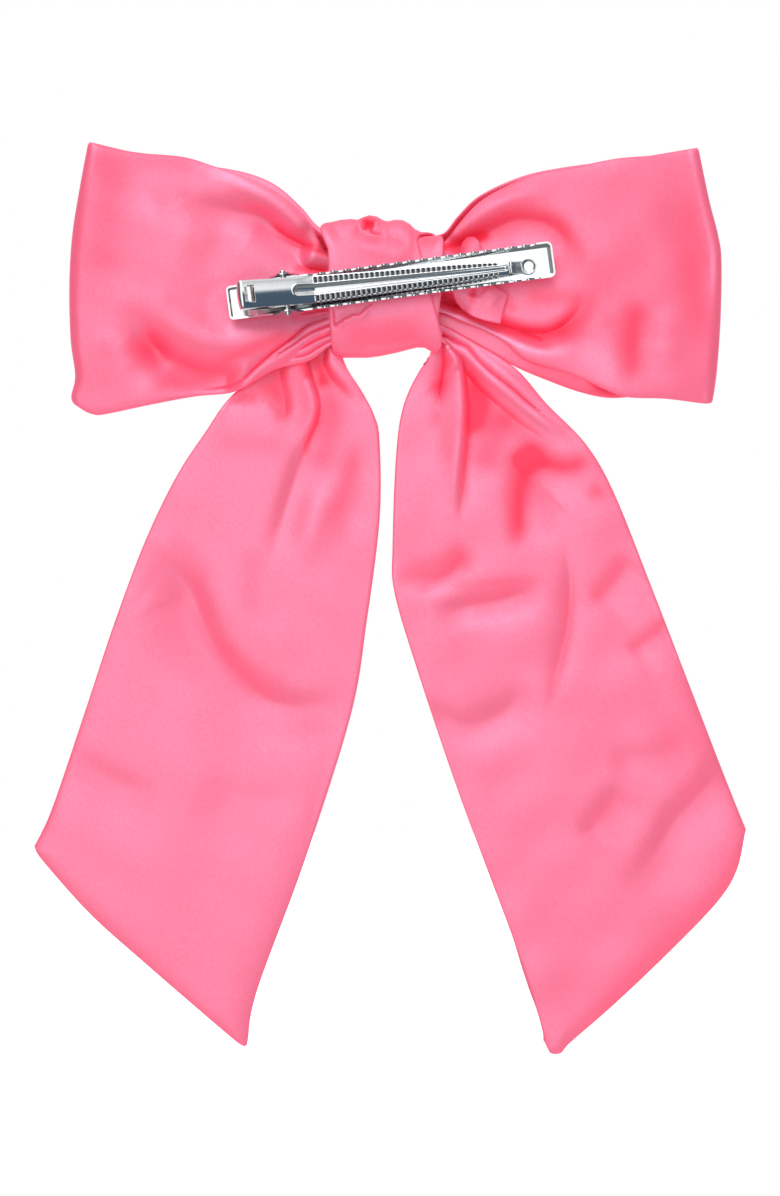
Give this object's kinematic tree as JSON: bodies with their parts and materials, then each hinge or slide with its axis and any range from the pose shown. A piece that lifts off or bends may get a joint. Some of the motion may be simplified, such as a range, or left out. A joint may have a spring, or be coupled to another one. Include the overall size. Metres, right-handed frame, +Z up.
{
  "type": "alligator hair clip with satin bow",
  "caption": "Long-tailed satin bow with two flat loops and a wrapped knot, glued to a sprung metal alligator clip that opens at a pinned hinge.",
  "frame": {"origin": "middle of the lower jaw's gripping floor, on the hair side of the bow's knot", "axes": "+Z up with the tails hanging down, -Y towards the hair and the clip, +Y towards the decorative front, +X to the right as seen from the clip side; the clip runs along X with its jaw end raised 7.7 degrees"},
  "size_m": [0.1716, 0.0343, 0.2204],
  "materials": {
    "plated_steel": "polished",
    "spring_steel": "satin",
    "glue": "satin",
    "satin": "satin",
    "thread": "satin"
  },
  "bodies": {
    "bow_and_base": {"base_jaw": "plated_steel", "hinge_pin": "plated_steel", "leaf_spring": "spring_steel", "glue_pad": "glue", "centre_wrap": "satin", "loop_band": "satin", "tail_strip": "satin", "gathering_thread": "thread", "tack_stitches": "thread"},
    "lever": {"lever_jaw": "plated_steel"}
  },
  "joints": [
    {"name": "jaw_hinge", "type": "hinge", "parent": "bow_and_base", "child": "lever", "pos_m": [-0.02457, -0.0042, -0.00269], "axis": [0.134, 0, -0.991], "range_deg": [0, 32], "stiffness_Nm_per_rad": 0.06, "springref_deg": -45.84, "deforming": ["leaf_spring"]}
  ]
}
